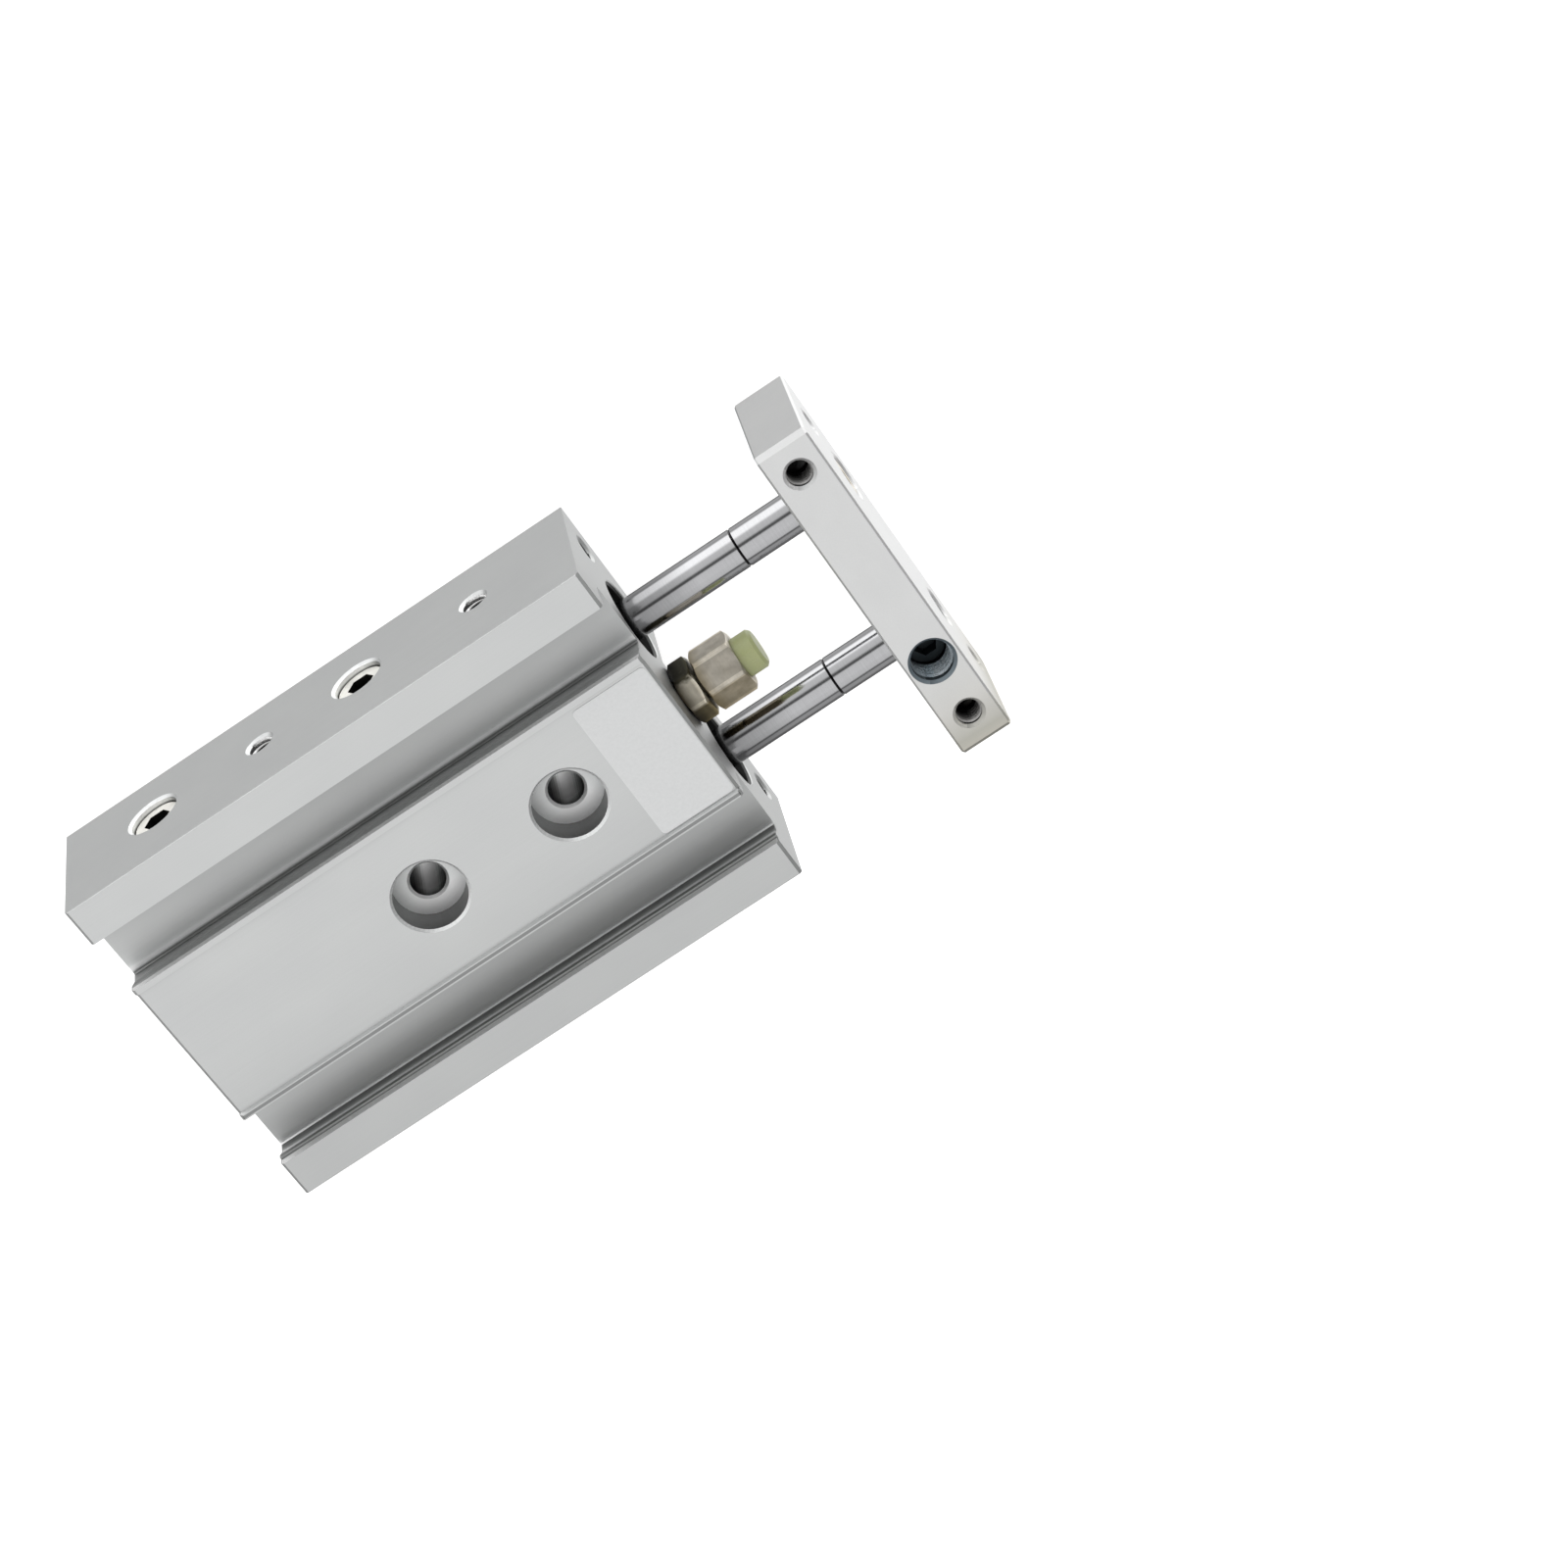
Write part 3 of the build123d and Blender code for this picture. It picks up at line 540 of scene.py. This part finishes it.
def shaded_head(tree, color):
    """Painted highlights on the corners, and painted brown shade on a facet and on the end beside
    the nut.
    """
    color = hex_highlights_and_shade(tree, color)
    at = where(tree)
    # Painted brown shade towards -Y and on the end beside the nut.
    color = tint(tree, color, (0.78, 0.73, 0.62), spread(tree, at.y, 1.0, 0.0, -0.3, 0.0))
    return tint(tree, color, (0.65, 0.6, 0.48), spread(tree, at.x, 1.0, 0.0, 23.5, 24.6))


def lit_clamp(tree, color):
    """A wall that catches light on one side of the clamping screw's hole."""
    at = where(tree)
    from_axis = number(tree, "SUBTRACT", at.x, PLATE_MIDDLE)
    across = number(tree, "SUBTRACT", at.y, CLAMP_SIDE)
    offset = number(tree, "SUBTRACT", from_axis, across)
    return tint(tree, color, tones_along(tree, offset, [(-1.68, 0.6), (0.28, 0.9), (1.68, 2.6)]))


def lit_mouth(tree, color):
    """Threads in shadow a little way down, sooner in the narrow holes of the +Y side."""
    at = where(tree)
    narrow = [(16.1, 0.03), (17.62, 0.06), (17.74, 1.7)]
    wide = [(-18.02, 1.3), (-17.3, 0.25), (-16.1, 0.06)]
    narrow = tones_along(tree, at.y, narrow)
    wide = tones_along(tree, at.y, wide)
    return tint(tree, color, blend(tree, wide, narrow, above(tree, at.y, 0.0)))


def lit_plate_mouth(tree, color):
    """Threads of the plate's top, in shadow a little way down and lit on one side."""
    at = where(tree)
    tone = tones_along(tree, at.z, [(PLATE_TOP - 2.6, 0.03), (PLATE_TOP - 1.6, 0.3), (15.0, 1.15)])
    lit = both(tree, lit_side(tree, at), above(tree, at.z, 12.6))
    tone = blend(tree, tone, grey(0.95), lit)
    return tint(tree, color, tone, above(tree, at.z, 9.0))


def socket_shade(tree, color):
    """Painted shade in the hexagon sockets of the plugs' faces."""
    at = where(tree)
    below_face = below(tree, at.y, 17.77)
    for x in PORTS:
        socket = around(tree, at.x, at.z, (x, PORT_HEIGHT), 1.5)
        color = tint(tree, color, 0.02, both(tree, below_face, socket))
    return color


# Other finishes


def turned(
    name, base, roughness, along,
    metallic=1.0, ring_scale=14.0, depth=0.2, variation=0.08, shadow=None, detail=None,
):
    """Machined metal with fine turning rings across an axis.

    shadow is how far its painted hollow shade reaches, in millimetres, and how dark it is.
    """
    material, tree, principled = shader(name, base, metallic, roughness)
    scale = [0.3, 0.3, 0.3]
    scale[along] = ring_scale
    rings = noise(tree, scale, detail=2.0)
    cloud = noise(tree, (0.8, 0.8, 0.8), detail=4.0)
    stops = [(0.3, shade(base, 1.0 - variation)), (0.7, shade(base, 1.0 + variation))]
    color = ramp(tree, rings, stops)
    color = tint(tree, color, ramp(tree, cloud, [(0.3, grey(0.9)), (0.7, grey(1.0))]))
    if shadow is not None:
        reach, darkest = shadow
        color = painted_hollow_shade(tree, color, reach * MM, darkest, alone=False)
    if detail is not None:
        color = detail(tree, color)
    tree.links.new(color, principled.inputs["Base Color"])
    rough = spread(tree, cloud, roughness - 0.06, roughness + 0.1)
    tree.links.new(rough, principled.inputs["Roughness"])
    bump(tree, principled, rings, depth, 0.00001)
    return material


def moulded(name, base, roughness, grain_scale=5.0, variation=0.2):
    """Rubber or plastic: dull, with a fine moulded grain."""
    material, tree, principled = shader(name, base, 0.0, roughness)
    grain = noise(tree, (grain_scale,) * 3, detail=5.0, rough=0.65)
    stops = [(0.3, shade(base, 1.0 - variation)), (0.7, shade(base, 1.0 + variation))]
    tree.links.new(ramp(tree, grain, stops), principled.inputs["Base Color"])
    rough = spread(tree, grain, roughness - 0.08, roughness + 0.08)
    tree.links.new(rough, principled.inputs["Roughness"])
    bump(tree, principled, grain, 0.3, 0.00002)
    return material


def urethane():
    """The bumper's soft green plastic, which lets a little light in."""
    material = moulded("bumper_urethane", (0.46, 0.49, 0.25), 0.38, 6.0, 0.05)
    principled = material.node_tree.nodes["Principled BSDF"]
    principled.inputs["Subsurface Weight"].default_value = 0.35
    principled.inputs["Subsurface Radius"].default_value = (0.6, 0.8, 0.3)
    principled.inputs["Subsurface Scale"].default_value = MM
    return material


def chromed(name, base, roughness):
    """Hard chrome on a ground rod: a mirror with faint marks round it, a dark ring mark, and a
    painted dark reflection near the body.
    """
    material, tree, principled = shader(name, base, 1.0, roughness)
    rings = noise(tree, (9.0, 0.2, 0.2), detail=2.0)
    color = ramp(tree, rings, [(0.3, shade(base, 0.97)), (0.7, shade(base, 1.03))])
    at = where(tree)
    color = tint(tree, color, 0.08, within(tree, at.x, 32.88, 33.12))
    # A painted dark reflection, strongest near the body.
    color = tint(tree, color, tones_along(tree, at.x, [(22.5, 0.55), (25.0, 0.7), (28.5, 1.0)]))
    tree.links.new(color, principled.inputs["Base Color"])
    rough = spread(tree, rings, roughness - 0.015, roughness + 0.02)
    tree.links.new(rough, principled.inputs["Roughness"])
    bump(tree, principled, rings, 0.05, 0.000003)
    return material


ALONG_X, ALONG_Y, ALONG_Z = range(3)
NICKEL = {"metallic": 0.8, "ring_scale": 9.0, "depth": 0.1, "variation": 0.04}

cover_finish = turned("turned_aluminium", (0.55, 0.55, 0.53), 0.38, ALONG_X)
piston_finish = turned("chromated_aluminium", (0.52, 0.46, 0.3), 0.4, ALONG_X)
rod_finish = chromed("hard_chrome", (0.5, 0.502, 0.512), 0.12)
screw_finish = turned(
    "nickel_plate", (0.56, 0.52, 0.445), 0.36, ALONG_X,
    shadow=(0.6, 0.05), detail=hex_highlights_and_shade, **NICKEL,
)
# The head's nickel is painted lighter and the nut's darker than the screw's, as painted light and
# shade.
head_finish = turned(
    "head_nickel", (0.59, 0.55, 0.475), 0.36, ALONG_X,
    shadow=(0.6, 0.05), detail=shaded_head, **NICKEL,
)
nut_finish = turned(
    "nut_nickel", (0.54, 0.505, 0.425), 0.34, ALONG_X,
    shadow=(0.4, 0.5), detail=nut_light_and_shade, **NICKEL,
)
plug_finish = turned(
    "plug_nickel", (0.98, 0.965, 0.915), 0.5, ALONG_Y,
    metallic=0.85, ring_scale=9.0, depth=0.1, variation=0.05, detail=socket_shade,
)
spring_finish = turned("phosphated_spring", grey(0.05), 0.5, ALONG_Z, ring_scale=6.0)
black_finish = turned("black_oxide", (0.05, 0.06, 0.065), 0.42, ALONG_Z, ring_scale=8.0)
retainer_finish = turned("retainer", grey(0.03), 0.5, ALONG_X)
side_thread_finish = turned(
    "cut_thread", (0.8, 0.8, 0.79), 0.3, ALONG_Y,
    metallic=0.7, ring_scale=3.0, detail=lit_mouth,
)
# The end holes' threads are near-black, as painted shade.
end_thread_finish = turned(
    "shaded_end_thread", grey(0.1), 0.35, ALONG_X,
    ring_scale=3.0, shadow=(2.0, 0.1),
)
plate_thread_finish = turned(
    "tapped_plate", (0.85, 0.84, 0.83), 0.3, ALONG_Z,
    metallic=0.7, ring_scale=3.0, detail=lit_plate_mouth,
)
clamp_thread_finish = turned(
    "clamp_thread", (0.62, 0.7, 0.75), 0.25, ALONG_Z,
    metallic=0.8, ring_scale=3.0, shadow=(2.0, 0.25), detail=lit_clamp,
)
rubber_finish = moulded("seal_rubber", grey(0.018), 0.6)
magnet_finish = moulded("magnet_plastic", (0.03, 0.027, 0.027), 0.5)
bumper_finish = urethane()

finishes = {
    "cylinder_body": body_metal(),
    "head_retaining_rings": spring_finish,
    "rod_retaining_rings": spring_finish,
    "end_plate": plate_metal(),
    "rod_a_screw": screw_finish,
    "rod_b_set_screw": black_finish,
    "bumper_bolt": head_finish,
    "bumper": bumper_finish,
    "lock_nut": nut_finish,
    "port_plugs": plug_finish,
}
for line in ("a", "b"):
    finishes[f"head_cover_{line}"] = cover_finish
    finishes[f"head_seal_{line}"] = rubber_finish
    finishes[f"rod_cover_{line}"] = cover_finish
    finishes[f"cover_seal_{line}"] = rubber_finish
    finishes[f"rod_seal_{line}"] = rubber_finish
    finishes[f"seal_retainer_{line}"] = retainer_finish
    finishes[f"piston_{line}"] = piston_finish
    finishes[f"piston_seal_{line}"] = rubber_finish
    finishes[f"magnet_{line}"] = magnet_finish
    finishes[f"magnet_holder_{line}"] = piston_finish
    finishes[f"stop_cushion_{line}"] = bumper_finish
    finishes[f"piston_rod_{line}"] = rod_finish
for name, finish in finishes.items():
    for slot in nodes[name].material_slots:
        slot.link = "OBJECT"
        slot.material = finish


# Pieces


def link(name, mesh, material, body):
    """A new object from a bmesh, in its body and material slot."""
    data = bpy.data.meshes.new(name)
    mesh.to_mesh(data)
    mesh.free()
    piece = bpy.data.objects.new(name, data)
    bpy.context.scene.collection.objects.link(piece)
    data.materials.append(material)
    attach(piece, body)


def thread(mesh, mouth, inward, length, screw):
    """A helical ridge on the wall of a round hole, from a start depth inwards."""
    steps = 28
    run_out = 0.4 * steps
    root = screw.radius + 0.01
    axis = Vector(inward)
    side = axis.orthogonal().normalized()
    other = axis.cross(side)
    count = int(steps * length / screw.pitch)
    profile = [(0.0, -0.45), (1.0, -0.06), (1.0, 0.06), (0.0, 0.45)]
    rows = []
    for i in range(count + 1):
        angle = 2 * math.pi * i / steps
        depth = screw.start + screw.pitch * i / steps
        taper = min(1.0, i / run_out, (count - i) / run_out)
        outward = side * math.cos(angle) + other * math.sin(angle)
        row = []
        for rise, offset in profile:
            across = outward * (root - rise * screw.height * taper)
            place = Vector(mouth) + axis * (depth + offset * screw.pitch) + across
            row.append(mesh.verts.new(place * MM))
        rows.append(row)
    for a, b in zip(rows, rows[1:]):
        for k in range(len(profile) - 1):
            mesh.faces.new((a[k], a[k + 1], b[k + 1], b[k]))


def threads(name, holes, material, body):
    """One object with the threads of several holes."""
    mesh = bmesh.new()
    for mouth, inward, length, screw in holes:
        thread(mesh, mouth, inward, length, screw)
    bmesh.ops.recalc_face_normals(mesh, faces=mesh.faces)
    link(name, mesh, material, body)


def label():
    """Thin satin label with round corners on the centre land."""
    x0, x1 = BODY_FRONT - 8.2, BODY_FRONT - 0.4
    y0, y1 = -7.7, 7.5
    radius = 0.5
    thickness = 0.06
    corners = (
        (x1 - radius, y1 - radius),
        (x0 + radius, y1 - radius),
        (x0 + radius, y0 + radius),
        (x1 - radius, y0 + radius),
    )
    mesh = bmesh.new()
    outline = []
    for corner, (cx, cy) in enumerate(corners):
        for k in range(7):
            angle = math.radians(90 * corner + 15 * k)
            place = (cx + radius * math.cos(angle), cy + radius * math.sin(angle))
            outline.append(Vector((*place, LABEL_BED + thickness)) * MM)
    face = mesh.faces.new([mesh.verts.new(place) for place in outline])
    made = bmesh.ops.extrude_face_region(mesh, geom=[face])
    low = [v for v in made["geom"] if isinstance(v, bmesh.types.BMVert)]
    bmesh.ops.translate(mesh, verts=low, vec=(0, 0, -thickness * MM))
    bmesh.ops.recalc_face_normals(mesh, faces=mesh.faces)
    material, tree, principled = shader("label_film", (0.81, 0.82, 0.82), 0.35, 0.42)
    fibre = noise(tree, (3.0, 3.0, 3.0), detail=4.0)
    tone = ramp(tree, fibre, [(0.3, (0.8, 0.81, 0.81)), (0.7, (0.84, 0.85, 0.85))])
    tree.links.new(tone, principled.inputs["Base Color"])
    bump(tree, principled, fibre, 0.15, 0.00001)
    link("label", mesh, material, "housing")


side_holes = []
for x in SIDE_SCREWS:
    side_holes.append(((x, BODY_SIDE, SIDE_SCREW_HEIGHT), (0, -1, 0), 3.6, M3))
for x in PORTS:
    side_holes.append(((x, -BODY_SIDE, PORT_HEIGHT), (0, 1, 0), 3.4, M5))
threads("side_threads", side_holes, side_thread_finish, "housing")

end_holes = []
for y in (-END_SCREW_SIDE, END_SCREW_SIDE):
    end_holes.append(((BODY_FRONT, y, END_SCREW_HEIGHT), (-1, 0, 0), 6.0, M3))
    end_holes.append(((BODY_REAR, y, END_SCREW_HEIGHT), (1, 0, 0), 6.0, M3))
threads("end_threads", end_holes, end_thread_finish, "housing")

plate_holes = []
for y in PLATE_SCREWS:
    plate_holes.append(((PLATE_MIDDLE, y, PLATE_TOP), (0, 0, -1), 3.6, M3))
    plate_holes.append(((PLATE_FRONT, y, ROD_HEIGHT), (-1, 0, 0), 4.2, M3))
threads("plate_threads", plate_holes, plate_thread_finish, "carriage")

clamp_holes = [((PLATE_MIDDLE, CLAMP_SIDE, PLATE_TOP), (0, 0, -1), 3.1, M4)]
threads("clamp_thread", clamp_holes, clamp_thread_finish, "carriage")

label()


# Studio


def paper_floor():
    """A pale floor just under the part."""
    bpy.ops.mesh.primitive_plane_add(size=8.0, location=(0, 0, -0.00002))
    floor = bpy.context.object
    floor.name = "floor"
    material, tree, principled = shader("floor_paper", grey(0.92), 0.0, 0.9)
    grain = noise(tree, (0.02, 0.02, 0.02), detail=2.0)
    tone = ramp(tree, grain, [(0.3, grey(0.91)), (0.7, grey(0.93))])
    tree.links.new(tone, principled.inputs["Base Color"])
    principled.inputs["Emission Color"].default_value = (1, 1, 1, 1)
    principled.inputs["Emission Strength"].default_value = 0.75
    floor.data.materials.append(material)
    floor.visible_glossy = False


def soft_sky():
    """Soft light in bands round the X axis, brighter ahead of the part from below."""
    world = bpy.data.worlds.new("studio")
    world.use_nodes = True
    bpy.context.scene.world = world
    tree = world.node_tree
    background = tree.nodes["Background"]
    toward = split(tree, tree.nodes.new("ShaderNodeTexCoord").outputs["Generated"])
    turn = number(tree, "ARCTAN2", toward.y, toward.z)
    part = spread(tree, turn, 0.0, 1.0, -math.pi, math.pi)
    bands = [
        (0.0, 0.15),
        (0.06, 0.2),
        (0.20, 0.2),
        (0.24, 0.5),
        (0.30, 0.5),
        (0.315, 0.2),
        (0.335, 0.2),
        (0.35, 0.86),
        (0.44, 0.98),
        (0.553, 0.95),
        (0.568, 0.14),
        (0.596, 0.14),
        (0.622, 0.85),
        (0.70, 0.95),
        (0.735, 1.85),
        (0.835, 1.85),
        (0.865, 0.56),
        (0.95, 0.66),
        (0.975, 0.3),
        (1.0, 0.15),
    ]
    sky = ramp(tree, part, [(place, grey(light)) for place, light in bands])
    ahead = spread(tree, toward.x, 0.0, 1.0, 0.0, 0.5)
    from_below = spread(tree, toward.z, 0.0, 1.0, -0.2, -0.7)
    sky = blend(tree, sky, grey(1.8), both(tree, ahead, from_below))
    level = both(tree, above(tree, toward.x, 0.5), within(tree, toward.z, -0.15, 0.6))
    sky = tint(tree, sky, 0.45, level)
    tree.links.new(sky, background.inputs["Color"])
    background.inputs["Strength"].default_value = 1.0


def studio_camera():
    """The camera, with the view and the lens of the photograph."""
    data = bpy.data.cameras.new("camera")
    camera = bpy.data.objects.new("camera", data)
    scene = bpy.context.scene
    scene.collection.objects.link(camera)
    right = Vector((0.83061505, -0.53787021, 0.14413282))
    up = Vector((0.54238592, 0.72286746, -0.42811231))
    back = Vector((0.12607993, 0.43377214, 0.89215782))
    place = Vector((0.0722024, 0.15381496, 0.35266564))
    turn = Matrix((right, up, back)).transposed().to_4x4()
    camera.matrix_world = Matrix.Translation(place) @ turn
    data.sensor_fit = "HORIZONTAL"
    data.sensor_width = 36.0
    data.lens = 95.079
    data.clip_start = 0.01
    data.clip_end = 20.0
    scene.camera = camera
    scene.view_settings.view_transform = "Standard"


paper_floor()
soft_sky()
studio_camera()
